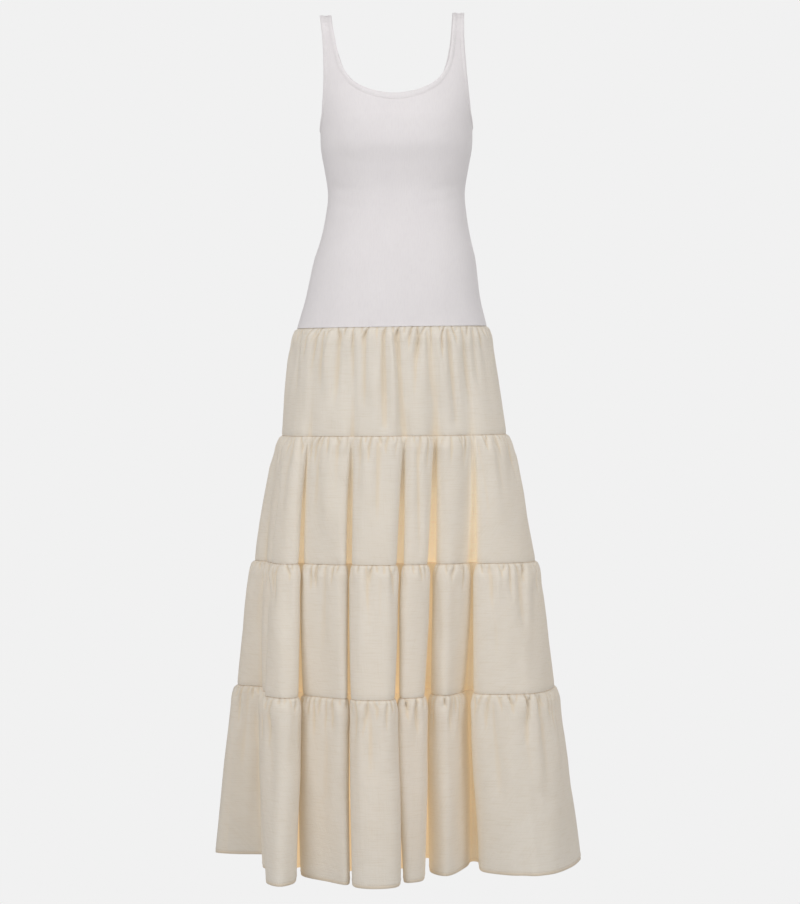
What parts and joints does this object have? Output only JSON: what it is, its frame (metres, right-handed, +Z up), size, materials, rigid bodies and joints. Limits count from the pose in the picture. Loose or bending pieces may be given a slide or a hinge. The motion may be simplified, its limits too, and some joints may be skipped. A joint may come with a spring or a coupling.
{
  "type": "maxi dress",
  "caption": "Sleeveless tank-top maxi dress with a fine jersey bodice to the hip and a long flared skirt of gathered linen tiers, in its worn form with no wearer.",
  "frame": {"origin": "middle of the shoulder line, where the straps rest on the wearer", "axes": "+Z up along the dress, -Y out of its front, +X towards the wearer's left"},
  "size_m": [0.626, 0.5728, 1.4431],
  "materials": {
    "jersey": "soft white fine rib knit with a faint lilac tint, matt",
    "binding": "doubled white knit band, matt",
    "linen": "undyed cream plain weave with slubs, matt"
  },
  "bodies": {
    "root": {"bodice_front": "jersey", "bodice_back": "jersey", "neck_binding": "binding", "armhole_binding_right": "binding", "armhole_binding_left": "binding", "tier_1_front": "linen", "tier_1_back": "linen", "tier_2_front": "linen", "tier_2_back": "linen", "tier_3_front": "linen", "tier_3_back": "linen", "tier_4_front": "linen", "tier_4_back": "linen"}
  },
  "joints": []
}
